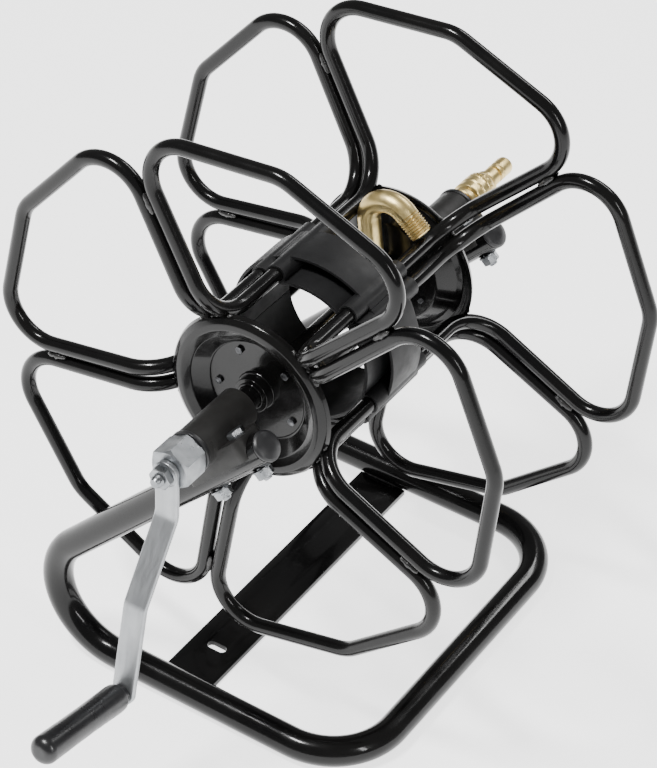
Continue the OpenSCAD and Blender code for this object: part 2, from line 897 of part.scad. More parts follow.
module block_bolts()
    color("#c3c6c9")
        at_bolts()
            union() {
                translate([0, 0, -foot_top - head_h])
                    hex_bar(bolt_flats, head_h);
                translate([0, 0, -foot_top - 1])
                    cylinder(h = 1 + bolt_grip + nut_h + bolt_end, r = bolt_d / 2);
            }

module block_washers()
    color("#c3c6c9")
        at_bolts()
            translate([0, 0, tube_r])
                difference() {
                    cylinder(h = washer_t, r = washer_r);
                    translate([0, 0, -1])
                        cylinder(h = washer_t + 2, r = bolt_d / 2 + fit);
                }

module block_nuts()
    color("#c3c6c9")
        at_bolts()
            translate([0, 0, tube_r + washer_t])
                difference() {
                    hex_bar(bolt_flats, nut_h);
                    translate([0, 0, -1])
                        cylinder(h = nut_h + 2, r = bolt_d / 2);
                }

frame_tube();
floor_strap();
tube_plug_near();
tube_plug_far();
bearing_block_near();
bearing_block_far();
bearing_bush_near();
bearing_bush_far();
block_bolts();
block_washers();
block_nuts();
for (i = [1 : petals]) {
    near_petal(i);
    far_petal(i);
    drum_segment(i);
}
hub_flange_near();
hub_flange_far();
hub_collar_near();
hub_collar_far();
flange_screws();
axle_tube();
thrust_ring_near();
thrust_ring_far();
crank_hub();
crank_arm();
crank_stud();
crank_nut();
grip_spindle();
crank_grip();
gooseneck();
gooseneck_ferrule();
inlet_stem();
inlet_seals();
inlet_swivel();
inlet_nipple();
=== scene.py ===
import json
import math
import random

import bmesh
import bpy
from mathutils import Matrix, Vector


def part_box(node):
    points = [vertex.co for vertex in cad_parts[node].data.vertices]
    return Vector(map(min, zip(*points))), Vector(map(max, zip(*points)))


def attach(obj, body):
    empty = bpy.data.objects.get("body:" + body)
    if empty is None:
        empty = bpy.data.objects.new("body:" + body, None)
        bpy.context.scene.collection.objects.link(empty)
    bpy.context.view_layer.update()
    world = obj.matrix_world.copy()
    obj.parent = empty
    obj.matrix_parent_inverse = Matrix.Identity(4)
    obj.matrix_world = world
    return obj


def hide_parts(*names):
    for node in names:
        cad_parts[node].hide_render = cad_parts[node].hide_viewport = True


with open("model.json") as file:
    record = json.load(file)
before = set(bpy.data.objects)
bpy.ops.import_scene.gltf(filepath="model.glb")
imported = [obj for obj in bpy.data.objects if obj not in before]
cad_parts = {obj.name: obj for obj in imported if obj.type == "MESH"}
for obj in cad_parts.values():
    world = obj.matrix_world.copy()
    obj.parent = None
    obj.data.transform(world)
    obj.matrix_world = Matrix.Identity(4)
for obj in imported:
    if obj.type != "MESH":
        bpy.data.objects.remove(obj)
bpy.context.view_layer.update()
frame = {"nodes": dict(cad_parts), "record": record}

MM = 0.001


# --- Places taken from the frame ---------------------------------------------------------------

def middle(node):
    """Centre of a node's box, in metres."""
    low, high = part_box(node)
    return (Vector(low) + Vector(high)) / 2


AXLE = Vector((middle("axle_tube").x, 0, middle("axle_tube").z))


# --- Camera ------------------------------------------------------------------------------------

VIEW_AZIMUTH = math.radians(31.85)
VIEW_ELEVATION = math.radians(39.23)
VIEW_ROLL = math.radians(2.42)
CAMERA_PLACE = Vector((0.9656, -1.4953, 1.677))
LENS_MM = 155.3


def add_camera():
    ca, sa = math.cos(VIEW_AZIMUTH), math.sin(VIEW_AZIMUTH)
    ce, se = math.cos(VIEW_ELEVATION), math.sin(VIEW_ELEVATION)
    cr, sr = math.cos(VIEW_ROLL), math.sin(VIEW_ROLL)
    look = Vector((-sa * ce, ca * ce, -se))
    level_right = Vector((ca, sa, 0))
    level_up = level_right.cross(look)
    right = cr * level_right + sr * level_up
    up = cr * level_up - sr * level_right
    data = bpy.data.cameras.new("camera")
    data.lens = LENS_MM
    data.sensor_width = 36
    data.sensor_fit = "HORIZONTAL"
    data.clip_end = 50
    camera = bpy.data.objects.new("camera", data)
    turn = Matrix((right, up, -look)).transposed().to_4x4()
    camera.matrix_world = Matrix.Translation(CAMERA_PLACE) @ turn
    bpy.context.scene.collection.objects.link(camera)
    bpy.context.scene.camera = camera


# --- Materials ---------------------------------------------------------------------------------

def new_material(name):
    """An empty node material, with its node tree and its shader."""
    material = bpy.data.materials.new(name)
    material.use_nodes = True
    tree = material.node_tree
    tree.nodes.clear()
    output = tree.nodes.new("ShaderNodeOutputMaterial")
    shader = tree.nodes.new("ShaderNodeBsdfPrincipled")
    tree.links.new(shader.outputs["BSDF"], output.inputs["Surface"])
    return material, tree, shader


def noise(tree, scale, detail=3.0, stretch=(1, 1, 1)):
    """Noise in object space; returns its value output."""
    place = tree.nodes.new("ShaderNodeTexCoord")
    mapping = tree.nodes.new("ShaderNodeMapping")
    mapping.inputs["Scale"].default_value = stretch
    tree.links.new(place.outputs["Object"], mapping.inputs["Vector"])
    texture = tree.nodes.new("ShaderNodeTexNoise")
    texture.inputs["Scale"].default_value = scale
    texture.inputs["Detail"].default_value = detail
    tree.links.new(mapping.outputs["Vector"], texture.inputs["Vector"])
    return texture.outputs["Fac"]


def ramp(tree, value, stops):
    """Colour ramp; stops are (place, colour) with the colour as 3 numbers."""
    node = tree.nodes.new("ShaderNodeValToRGB")
    while len(node.color_ramp.elements) < len(stops):
        node.color_ramp.elements.new(0.5)
    for element, (at, colour) in zip(node.color_ramp.elements, stops):
        element.position = at
        element.color = (*colour, 1)
    tree.links.new(value, node.inputs["Fac"])
    return node.outputs["Color"]


def spread(tree, value, low, high):
    """Maps a 0 to 1 value to low to high."""
    node = tree.nodes.new("ShaderNodeMapRange")
    node.inputs["From Min"].default_value = 0.3
    node.inputs["From Max"].default_value = 0.7
    node.inputs["To Min"].default_value = low
    node.inputs["To Max"].default_value = high
    tree.links.new(value, node.inputs["Value"])
    return node.outputs["Result"]


def bump(tree, shader, value, strength, distance):
    node = tree.nodes.new("ShaderNodeBump")
    node.inputs["Strength"].default_value = strength
    node.inputs["Distance"].default_value = distance
    tree.links.new(value, node.inputs["Height"])
    tree.links.new(node.outputs["Normal"], shader.inputs["Normal"])


LOOKS = {}


def surface(name, colour, stops, rough, limits, grain=None, height=None, settings=()):
    """Adds to LOOKS a material whose colour, roughness and grain each follow a noise.

    colour, rough and grain are the scale, detail and stretch of a noise. stops are the colours, limits
    the lowest and highest roughness, height the strength and distance of the grain's bump, and
    settings are further shader inputs.
    """
    material, tree, shader = new_material(name)
    tree.links.new(ramp(tree, noise(tree, *colour), stops), shader.inputs["Base Color"])
    tree.links.new(spread(tree, noise(tree, *rough), *limits), shader.inputs["Roughness"])
    for key, value in settings:
        shader.inputs[key].default_value = value
    if grain:
        bump(tree, shader, noise(tree, *grain), *height)
    LOOKS[name] = material


METAL = (("Metallic", 1.0),)
DULL_METAL = (("Metallic", 0.9),)
MATT_PLASTIC = (("Specular IOR Level", 0.28),)
ENAMEL = (("Specular IOR Level", 0.16), ("Coat Weight", 0.2), ("Coat Roughness", 0.06))

# gloss black enamel with a slight orange peel and thin dust
surface("black_paint", (9, 4), [(0.35, (0.0022, 0.0022, 0.0024)), (0.75, (0.006, 0.0057, 0.0054))],
        (60, 4), (0.13, 0.26), (420, 2), (0.25, 0.0002), ENAMEL)
# painted weld metal: the paint follows the ripples and pools between them
surface("weld", (120, 5), [(0.3, (0.006, 0.006, 0.0065)), (0.75, (0.022, 0.021, 0.02))],
        (200, 4), (0.22, 0.42), (700, 4), (0.5, 0.0004))
# dark grey moulded plastic, spark-eroded, slightly rubbed
surface("drum_plastic", (30, 6), [(0.3, (0.008, 0.008, 0.0085)), (0.7, (0.015, 0.015, 0.0155))],
        (90, 4), (0.42, 0.58), (900, 3), (0.35, 0.0002), MATT_PLASTIC)
# dark warm grey moulded housing with a fine eroded grain
surface("housing_plastic", (34, 6), [(0.3, (0.012, 0.0115, 0.011)), (0.7, (0.021, 0.0205, 0.0195))],
        (120, 4), (0.38, 0.54), (1000, 3), (0.35, 0.0002), MATT_PLASTIC)
# black moulded plastic with a fine grain
surface("black_plastic", (40, 5), [(0.3, (0.010, 0.010, 0.011)), (0.7, (0.022, 0.022, 0.023))],
        (110, 4), (0.30, 0.46), (1100, 2), (0.3, 0.00015))
# black grip, turned smooth, with a soft bloom
surface("grip_plastic", (24, 5), [(0.3, (0.007, 0.007, 0.008)), (0.7, (0.014, 0.014, 0.015))],
        (70, 4), (0.24, 0.36), (900, 2), (0.2, 0.00012))
# natural plastic of the bushes
surface("bush_plastic", (60, 4), [(0.3, (0.55, 0.53, 0.45)), (0.7, (0.68, 0.66, 0.58))],
        (120, 3), (0.4, 0.55))
surface("seal_rubber", (80, 3), [(0.3, (0.012, 0.012, 0.012)), (0.7, (0.02, 0.02, 0.02))],
        (150, 3), (0.6, 0.8))
# zinc plating: blotchy, lightly drawn
surface("zinc_steel", (70, 6), [(0.3, (0.19, 0.20, 0.21)), (0.7, (0.33, 0.34, 0.35))],
        (160, 5), (0.26, 0.44), (500, 3, (3, 3, 0.4)), (0.2, 0.0002), METAL)
# flat bar, zinc plated over a rolled surface with faint lengthwise drawing
surface("zinc_bar", (26, 6), [(0.3, (0.27, 0.28, 0.29)), (0.7, (0.40, 0.41, 0.42))],
        (90, 6, (4, 1, 0.25)), (0.34, 0.52), (260, 4, (5, 5, 0.3)), (0.16, 0.0002), DULL_METAL)
# small screws, zinc plated and dulled by overspray
surface("dark_steel", (240, 5), [(0.35, (0.03, 0.03, 0.032)), (0.7, (0.14, 0.143, 0.15))],
        (300, 4), (0.30, 0.50), settings=METAL)
surface("brass", (60, 5), [(0.3, (0.62, 0.46, 0.18)), (0.7, (0.80, 0.64, 0.31))],
        (140, 5), (0.28, 0.45), (600, 3), (0.2, 0.0002), METAL)
LOOKS["axle_steel"] = LOOKS["black_paint"]


def dress_nodes():
    """Gives every CAD node the look of its material slot."""
    for part in frame["record"]["subparts"]:
        shown = frame["nodes"][part["node"]]
        for item in shown.material_slots:
            item.material = LOOKS[part["material_slot"]]


# --- Mesh building -----------------------------------------------------------------------------

HINT = Vector((0.31, 0.53, 0.79))  # a direction that no piece runs along


def add_piece(name, verts, faces, look, body, replaces=(), sharp=32):
    """Makes a mesh object from points in mm, rides it on a body and shades it smooth below an angle."""
    mesh = bpy.data.meshes.new(name)
    mesh.from_pydata([(v[0] * MM, v[1] * MM, v[2] * MM) for v in verts], [], faces)
    mesh.validate()
    mesh.shade_smooth()
    mesh.set_sharp_from_angle(angle=math.radians(sharp))
    mesh.materials.append(LOOKS[look])
    piece = bpy.data.objects.new(name, mesh)
    bpy.context.scene.collection.objects.link(piece)
    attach(piece, body)
    if replaces:
        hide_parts(*replaces)
    return piece


class Shape:
    """Collects points and faces of one piece, in mm, from several parts."""

    def __init__(self):
        self.verts = []
        self.faces = []

    def add(self, verts, faces, matrix=None):
        base = len(self.verts)
        self.verts += [matrix @ v if matrix else v for v in verts]
        self.faces += [tuple(base + i for i in face) for face in faces]


def frame_at(place, axis, side=None):
    """Matrix that puts local Z along axis and local Y as near as can be to side."""
    z = Vector(axis).normalized()
    hint = Vector(side) if side else HINT
    y = (hint - z * hint.dot(z)).normalized()
    x = y.cross(z)
    return Matrix.Translation(Vector(place)) @ Matrix((x, y, z)).transposed().to_4x4()


def grid_faces(rings, count):
    """Quads between successive rings of count points each."""
    faces = []
    for i in range(rings - 1):
        for j in range(count):
            k = (j + 1) % count
            faces.append((i * count + j, i * count + k, (i + 1) * count + k, (i + 1) * count + j))
    return faces


def lathe(profile, steps=64):
    """Solid turned about local Z from a (radius, height) profile.

    An open profile starts and ends on the axis. A closed one repeats its first point at its end and
    makes a ring.
    """
    closed = profile[0] == profile[-1]
    points = profile[:-1] if closed else [p for p in profile if p[0] > 1e-6]
    verts = [Vector((r * math.cos(2 * math.pi * j / steps), r * math.sin(2 * math.pi * j / steps), z))
             for r, z in points for j in range(steps)]
    faces = grid_faces(len(points), steps)
    if closed:
        start = (len(points) - 1) * steps
        faces += [(start + j, start + (j + 1) % steps, (j + 1) % steps, j) for j in range(steps)]
    else:
        faces.append(tuple(reversed(range(steps))))
        faces.append(tuple((len(points) - 1) * steps + j for j in range(steps)))
    return verts, faces


def arc(centre, radius, start, end, steps=6):
    """Points on an arc in the profile plane, angles in degrees."""
    return [(centre[0] + radius * math.cos(math.radians(start + (end - start) * i / steps)),
             centre[1] + radius * math.sin(math.radians(start + (end - start) * i / steps)))
            for i in range(steps + 1)]


def rounded(profile, radius, steps=4):
    """Rounds the inner corners of an open (radius, height) profile."""
    out = [profile[0]]
    for before, at, after in zip(profile, profile[1:], profile[2:]):
        a, p, b = Vector(before), Vector(at), Vector(after)
        u, w = (a - p), (b - p)
        lu, lw = u.length, w.length
        if lu < 1e-6 or lw < 1e-6:
            out.append(at)
            continue
        u /= lu
        w /= lw
        angle = math.acos(max(-1, min(1, u.dot(w))))
        if angle > math.radians(170):
            out.append(at)
            continue
        cut = min(radius / math.tan(angle / 2), 0.45 * lu, 0.45 * lw)
        for i in range(steps + 1):
            t = i / steps
            q = (1 - t) ** 2 * (p + u * cut) + 2 * t * (1 - t) * p + t ** 2 * (p + w * cut)
            out.append((q.x, q.y))
    out.append(profile[-1])
    return out


def ring(inner, outer, low, high, corner):
    """Closed profile of a ring with its outer corners rounded."""
    return rounded([(inner, low), (outer, low), (outer, high), (inner, high)], corner) + [(inner, low)]


def rounded_path(points, bends, step=5):
    """Points and directions along straight runs with round bends, in mm."""
    points = [Vector(p) for p in points]
    runs = [(b - a).normalized() for a, b in zip(points, points[1:])]
    out = [(points[0], runs[0])]
    for i, bend in enumerate(bends):
        before, after, corner = runs[i], runs[i + 1], points[i + 1]
        angle = before.angle(after)
        trim = bend * math.tan(angle / 2)
        inward = (after - before * after.dot(before)).normalized()
        centre = corner - before * trim + inward * bend
        count = max(3, int(math.degrees(angle) / step))
        for k in range(count + 1):
            t = angle * k / count
            place = centre - inward * (bend * math.cos(t)) + before * (bend * math.sin(t))
            out.append((place, before * math.cos(t) + inward * math.sin(t)))
    out.append((points[-1], runs[-1]))
    return out


def round_section(radius, sides=24):
    return [(radius * math.cos(2 * math.pi * j / sides), radius * math.sin(2 * math.pi * j / sides))
            for j in range(sides)]


def bar_section(x, y, corner, steps=3):
    """Outline of a rectangle with round corners."""
    out = []
    for sx, sy, start in ((1, 1, 0), (-1, 1, 90), (-1, -1, 180), (1, -1, 270)):
        out += arc((sx * (x / 2 - corner), sy * (y / 2 - corner)), corner, start, start + 90, steps)
    return out


def sweep(path, section, side=None):
    """Solid with a section swept along (place, direction) pairs without twist."""
    verts = []
    hint = Vector(side) if side else HINT
    across = None
    for place, run in path:
        if across is None:
            across = (hint - run * hint.dot(run)).normalized()
        else:
            across = (across - run * across.dot(run)).normalized()
        other = across.cross(run)
        verts += [place + other * sx + across * sy for sx, sy in section]
    count = len(section)
    faces = grid_faces(len(path), count)
    faces.append(tuple(reversed(range(count))))
    faces.append(tuple((len(path) - 1) * count + j for j in range(count)))
    return verts, faces


def hexagon(flats, bottom, top, chamfer_top=True, chamfer_bottom=False, steps=72):
    """Hexagonal prism along local Z whose corners are turned down at 30 degrees, as on a real nut."""
    inner = flats / 2
    face_r = 0.96 * inner
    radii = []
    for j in range(steps):
        around = (360 * j / steps) % 60 - 30
        radii.append(inner / math.cos(math.radians(around)))
    slope = math.tan(math.radians(30))
    rows = []
    if chamfer_bottom:
        rows.append([(face_r, bottom)] * steps)
        rows.append([(r, bottom + (r - face_r) * slope) for r in radii])
    else:
        rows.append([(r, bottom) for r in radii])
    if chamfer_top:
        rows.append([(r, top - (r - face_r) * slope) for r in radii])
        rows.append([(face_r, top)] * steps)
    else:
        rows.append([(r, top) for r in radii])
    verts = [Vector((r * math.cos(2 * math.pi * j / steps), r * math.sin(2 * math.pi * j / steps), z))
             for row in rows for j, (r, z) in enumerate(row)]
    faces = grid_faces(len(rows), steps)
    faces.append(tuple(reversed(range(steps))))
    faces.append(tuple((len(rows) - 1) * steps + j for j in range(steps)))
    return verts, faces


def threaded(radius, bottom, top, pitch=1.25, tip=1.0):
    """Rod along local Z with thread ridges and a chamfered tip."""
    depth = 0.45 * pitch
    profile = [(0, bottom), (radius - depth, bottom)]
    turns = int((top - tip - bottom) / pitch)
    for i in range(turns):
        at = bottom + i * pitch
        profile += [(radius - depth, at + 0.1 * pitch), (radius, at + 0.45 * pitch),
                    (radius, at + 0.55 * pitch)]
    profile += [(radius - depth, top - tip), (radius - depth - tip * 0.6, top), (0, top)]
    return lathe(profile, 32)


# --- Sizes of the model, in mm ------------------------------------------------------------------

PETALS = 5
ROD_R = 6.35
DISC_Y = 118.0
PETAL_TURN = 153.9
HALF_SECTOR = 36.0
LEG_CIRCLE_R = 68.5
LEG_OFFSET = 7.9
SHOULDER_REACH = 234.5
SHOULDER_OFFSET = 6.55
PETAL_REACH = 227.0
PETAL_BEND_R = 35.0
HUB_BEND_R = 38.0
FLANGE_R = 70.7
DISH_RIM_R = 56.0
DISH_FLOOR_R = 45.0
FLANGE_T = 2.5
RIM_Y = 106.68
DISH_Y = 92.68
AXLE_R = 9.5
COLLAR_R = 15.0
COLLAR_L = 9.0
THRUST_R = 17.8
THRUST_T = 3.6
THRUST_START = {-1: 182.4, 1: 197.4}
SCREW_COUNT = 5
SCREW_CIRCLE_R = 36.0
SCREW_R = 2.0
SCREW_FLATS = 6.0
TUBE_R = 12.7
ARM_Y = {-1: -160.5, 1: 169.0}
ARM_ANGLE = math.radians(46.5)
SADDLE_DROP = 28.0
ARM_BEYOND = 46.0
FRONT_X = 175.0
FRAME_BEND_R = 60.0
BOLT_SPACING = 54.0
FOOT_TOP = 17.0
BOLT_R = 4.0
BOLT_FLATS = 13.0
WASHER_R = 8.0
WASHER_TOP = 14.3
PLUG_R = 12.6
HUB_START = 186.0
HUB_END = 211.0
HUB_FLATS = 32.0
ARM_T = 5.0
ARM_W = 20.0
ARM_BEND_R = 16.0
ARM_BEND_HIGH = 42.0
ARM_BEND_LOW = 105.0
EYE_R = 10.02
EYE_T = 5.08
NUT_FLATS = 17.0
STUD_R = 5.0
SPINDLE_R = 4.0
SPINDLE_END = 92.0
GRIP_R = 11.8
GRIP_L = 104.0
GRIP_END_R = 8.0
CRANK_R = 183.0
CRANK_STEP = 41.0
GRIP_LEAN = math.radians(12)
NECK_Y = 71.98
NECK_R = 9.3
NECK_RISE = 62.0
NECK_BEND_R = 20.0
NECK_LEAN = math.radians(8)
NECK_FALL = math.radians(40)
FERRULE_L = 18.5
FERRULE_RIBS = 7
FERRULE_BORE_R = 6.1
RIB_DEPTH = 1.15
STEM_Y = 201.0
STEM_FLATS = 22.0
STEM_R = 7.4
STEM_L = 34.0
SWIVEL_Y = 207.4
SWIVEL_END = 247.4
SWIVEL_FLUTES = 24

HUB = Vector((AXLE.x / MM, 0, AXLE.z / MM))
ARM_DIR = Vector((math.cos(ARM_ANGLE), 0, math.sin(ARM_ANGLE)))
ARM_NORMAL = Vector((math.sin(ARM_ANGLE), 0, -math.cos(ARM_ANGLE)))
ARM_FOOT = HUB + SADDLE_DROP * ARM_NORMAL


def along_axle(y, direction=1):
    """Frame on the axle at y, with local Z pointing along +Y or -Y."""
    turn = Matrix.Rotation(math.radians(-90 * direction), 4, "X")
    return Matrix.Translation(HUB + Vector((0, y, 0))) @ turn


def polar(radius, degrees, y):
    """Point about the axle, in mm; the angle runs from the front upwards."""
    a = math.radians(degrees)
    return HUB + Vector((radius * math.cos(a), y, radius * math.sin(a)))


# --- Discs --------------------------------------------------------------------------------------

def petal_points(side_y):
    half = math.radians(HALF_SECTOR)
    seam = math.sqrt(LEG_CIRCLE_R ** 2 - LEG_OFFSET ** 2)

    def at(reach, offset, side, y):
        return Vector((reach * math.cos(half) + offset * math.sin(half), y,
                       side * (reach * math.sin(half) - offset * math.cos(half))))

    left, right = [[at(seam, LEG_OFFSET, side, math.copysign(1, side_y)),
                    at(seam, LEG_OFFSET, side, side_y),
                    at(SHOULDER_REACH, SHOULDER_OFFSET, side, side_y)] for side in (-1, 1)]
    return left + [Vector((PETAL_REACH, side_y, 0))] + right[::-1]


def petal_angle(i):
    return PETAL_TURN - (i - 1) * 360 / PETALS


def bead(points, radius, seed, ripple=0.22, sides=10):
    """A hand-laid weld bead: a rippled, uneven run along a short path."""
    draw = random.Random(seed)
    path = []
    count = len(points)
    for i, place in enumerate(points):
        run = (points[min(i + 1, count - 1)] - points[max(i - 1, 0)]).normalized()
        path.append((place, run))
    verts = []
    across = None
    for i, (place, run) in enumerate(path):
        end = math.sin(math.pi * (i + 0.35) / (count - 0.3)) ** 0.5
        size = radius * end * (1 + ripple * math.sin(i * 2.1) * 0.6 + ripple * draw.uniform(-0.5, 0.5))
        hint = across if across else HINT
        across = (hint - run * hint.dot(run)).normalized()
        other = across.cross(run)
        verts += [place + other * (size * math.cos(2 * math.pi * j / sides))
                  + across * (size * math.sin(2 * math.pi * j / sides)) for j in range(sides)]
    faces = grid_faces(count, sides)
    faces.append(tuple(reversed(range(sides))))
    faces.append(tuple((count - 1) * sides + j for j in range(sides)))
    return verts, faces


def add_discs():
    bends = [HUB_BEND_R, PETAL_BEND_R, PETAL_BEND_R, PETAL_BEND_R, HUB_BEND_R]
    for name, side in (("near", -1), ("far", 1)):
        path = rounded_path(petal_points(side * DISC_Y), bends)
        for i in range(1, PETALS + 1):
            turn = Matrix.Translation(HUB) @ Matrix.Rotation(math.radians(-petal_angle(i)), 4, "Y")
            shape = Shape()
            shape.add(*sweep(path, round_section(ROD_R, 28)), turn)
            add_piece(f"{name}_rod_loop_{i}", shape.verts, shape.faces, "black_paint", "reel",
                      (f"{name}_petal_{i}",))
        add_disc_welds(name, side)


def add_disc_welds(name, side):
    """Beads where the rods lie on the flange's rim and where neighbouring loops touch."""
    shape = Shape()
    leg_half = HALF_SECTOR - math.degrees(math.asin(LEG_OFFSET / LEG_CIRCLE_R))
    seed = 11 if side < 0 else 29
    for i in range(1, PETALS + 1):
        for leg in (-1, 1):
            middle_angle = petal_angle(i) + leg * leg_half
            for edge in (-1, 1):
                seed += 1
                points = [polar(FLANGE_R + 1.1 - 0.22 * k, middle_angle + edge * (3.4 + 0.75 * k),
                                side * (RIM_Y - 1.2 - 0.35 * k)) for k in range(6)]
                shape.add(*bead(points, 1.7, seed))
        seed += 1
        seam = petal_angle(i) + HALF_SECTOR
        for face in (-1, 1):
            points = [polar(168 + 2.2 * k, seam, side * DISC_Y + face * 3.9) for k in range(9)]
            shape.add(*bead(points, 2.5, seed + face))
    add_piece(f"{name}_disc_welds", shape.verts, shape.faces, "weld", "reel", sharp=60)


# --- Hub ----------------------------------------------------------------------------------------

def sheet_profile():
    """Section of the pressed flange: floor, sloping wall and a rolled rim, from the bore and back."""
    t = FLANGE_T
    roll = [(DISH_RIM_R + 5.5, RIM_Y + 1.1), (FLANGE_R - 5, RIM_Y + 0.9), (FLANGE_R - 1.6, RIM_Y - 1.0),
            (FLANGE_R - 0.4, RIM_Y - 4.2)]
    low = [(AXLE_R + 0.1, DISH_Y), (DISH_FLOOR_R, DISH_Y), (DISH_RIM_R + 0.6, RIM_Y - 1.6)] + roll
    high = [(r + t * out, y + t * up)
            for (r, y), out, up in zip(roll, (0, 0.2, 0.75, 0.98), (1, 0.98, 0.66, 0.2))]
    back = high[::-1] + [(DISH_RIM_R - 1.4, RIM_Y + 0.5), (DISH_FLOOR_R - 1.1, DISH_Y + t),
                         (AXLE_R + 0.1, DISH_Y + t)]
    return rounded(low, 4, 5) + rounded(back, 4, 5)


def add_hub():
    for name, side in (("near", -1), ("far", 1)):
        base = along_axle(0, side)
        profile = sheet_profile()
        shape = Shape()
        shape.add(*lathe(profile + [profile[0]], 128), base)
        add_piece(f"{name}_dish", shape.verts, shape.faces, "black_paint", "reel",
                  (f"hub_flange_{name}",), 40)

        floor = DISH_Y + FLANGE_T
        collar = Shape()
        collar.add(*lathe(ring(AXLE_R, COLLAR_R, floor, floor + COLLAR_L, 0.8), 64), base)
        foot_weld = [polar(COLLAR_R + 0.2, 10 * k, side * (floor + 0.4)) for k in range(37)]
        collar.add(*bead(foot_weld, 1.9, 5 + side))
        end_weld = [polar(AXLE_R + 0.9, 12 * k, side * (floor + COLLAR_L + 0.2)) for k in range(31)]
        collar.add(*bead(end_weld, 1.5, 7 + side))
        add_piece(f"{name}_collar", collar.verts, collar.faces, "black_paint", "reel",
                  (f"hub_collar_{name}",), 50)

    screws = Shape()
    for side in (-1, 1):
        for i in range(SCREW_COUNT):
            place = polar(SCREW_CIRCLE_R, PETAL_TURN + HALF_SECTOR + 360 / SCREW_COUNT * i, side * DISH_Y)
            base = Matrix.Translation(place) @ Matrix.Rotation(math.radians(-90 * side), 4, "X")
            screws.add(*threaded(SCREW_R, -3, FLANGE_T + 0.2, 0.7, 0.6), base)
            screws.add(*hexagon(SCREW_FLATS, FLANGE_T, FLANGE_T + 2.2), base)
    add_piece("flange_hex_screws", screws.verts, screws.faces, "dark_steel", "reel", ("flange_screws",))

    rings = Shape()
    for side, start in THRUST_START.items():
        rings.add(*lathe(ring(AXLE_R, THRUST_R, start, start + THRUST_T, 0.7), 72), along_axle(0, side))
    add_piece("thrust_washers", rings.verts, rings.faces, "black_plastic", "reel",
              ("thrust_ring_near", "thrust_ring_far"))


# --- Crank --------------------------------------------------------------------------------------

def add_crank():
    shape = Shape()
    base = along_axle(0, -1)
    flats_up = base @ Matrix.Rotation(math.radians(30), 4, "Z")
    shape.add(*hexagon(HUB_FLATS, HUB_START, HUB_END, True, True, 144), flats_up)
    add_piece("crank_hexagon", shape.verts, shape.faces, "zinc_steel", "reel", ("crank_hub",), 25)

    arm = Shape()
    crank_y = HUB_END + EYE_T / 2
    turn_y = -crank_y - CRANK_STEP
    shank = Vector((0, -math.sin(GRIP_LEAN), -math.cos(GRIP_LEAN)))
    grip_dir = Vector((0, -math.cos(GRIP_LEAN), math.sin(GRIP_LEAN)))
    top = HUB + Vector((0, -crank_y, 0))
    turn = HUB + Vector((0, turn_y, -ARM_BEND_LOW))
    eye = turn + shank * ((CRANK_R - ARM_BEND_LOW) / math.cos(GRIP_LEAN))
    first_bend = HUB + Vector((0, -crank_y, -ARM_BEND_HIGH))
    path = rounded_path([top, first_bend, turn, eye], [ARM_BEND_R, ARM_BEND_R], 4)
    arm.add(*sweep(path, bar_section(ARM_T, ARM_W, 1.3), (1, 0, 0)))
    disc = rounded([(0, -EYE_T / 2), (EYE_R, -EYE_T / 2), (EYE_R, EYE_T / 2), (0, EYE_T / 2)], 1.3)
    arm.add(*lathe(disc, 72), frame_at(top, (0, -1, 0)))
    arm.add(*lathe(disc, 72), frame_at(eye, grip_dir))
    add_piece("crank_bar", arm.verts, arm.faces, "zinc_bar", "reel", ("crank_arm",), 40)

    nut = Shape()
    seat = HUB_END + EYE_T
    flange = [(0, seat), (10.2, seat), (10.8, seat + 0.5), (10.8, seat + 1.1), (9.6, seat + 2), (0, seat + 2)]
    nut.add(*lathe(flange, 64), base)
    nut.add(*hexagon(NUT_FLATS, seat + 1.5, seat + 8, True, False, 144), base)
    nut.add(*threaded(STUD_R, seat + 7.5, seat + 14, 1.5, 1.2), base)
    nut.add(*lathe([(0, HUB_START), (STUD_R, HUB_START), (STUD_R, seat + 8), (0, seat + 8)], 32), base)
    add_piece("crank_flange_nut", nut.verts, nut.faces, "zinc_steel", "reel", ("crank_nut", "crank_stud"), 25)

    spindle = Shape()
    on_grip = frame_at(eye, grip_dir)
    back = -EYE_T / 2
    head = rounded([(0, back - 2.4), (4.6, back - 2.4), (7, back - 0.7), (7, back + 0.2),
                    (0, back + 0.2)], 1.6)
    spindle.add(*lathe(head, 48), on_grip)
    shank_end = [(SPINDLE_R, SPINDLE_END - 1), (0, SPINDLE_END)]
    spindle.add(*lathe([(0, back), (SPINDLE_R, back)] + shank_end, 32), on_grip)
    add_piece("grip_pin", spindle.verts, spindle.faces, "zinc_steel", "reel", ("grip_spindle",))

    grip = Shape()
    start = EYE_T / 2 + 0.4
    end = start + GRIP_L
    outline = [(4.3, start), (8.4, start), (8.6, start + 5.2), (GRIP_R - 0.5, start + 6.6),
               (GRIP_R, start + 12), (GRIP_R - 0.5, start + 45), (GRIP_R - 0.35, start + 70),
               (GRIP_R, end - GRIP_END_R)]
    outline = rounded(outline, 1.6)
    cap = arc((GRIP_R - GRIP_END_R, end - GRIP_END_R), GRIP_END_R, 0, 90, 12)
    grip.add(*lathe([(0, start)] + outline + cap[1:] + [(0, end)], 96), on_grip)
    add_piece("hand_grip", grip.verts, grip.faces, "grip_plastic", "grip", ("crank_grip",), 35)


# --- Waterway -----------------------------------------------------------------------------------

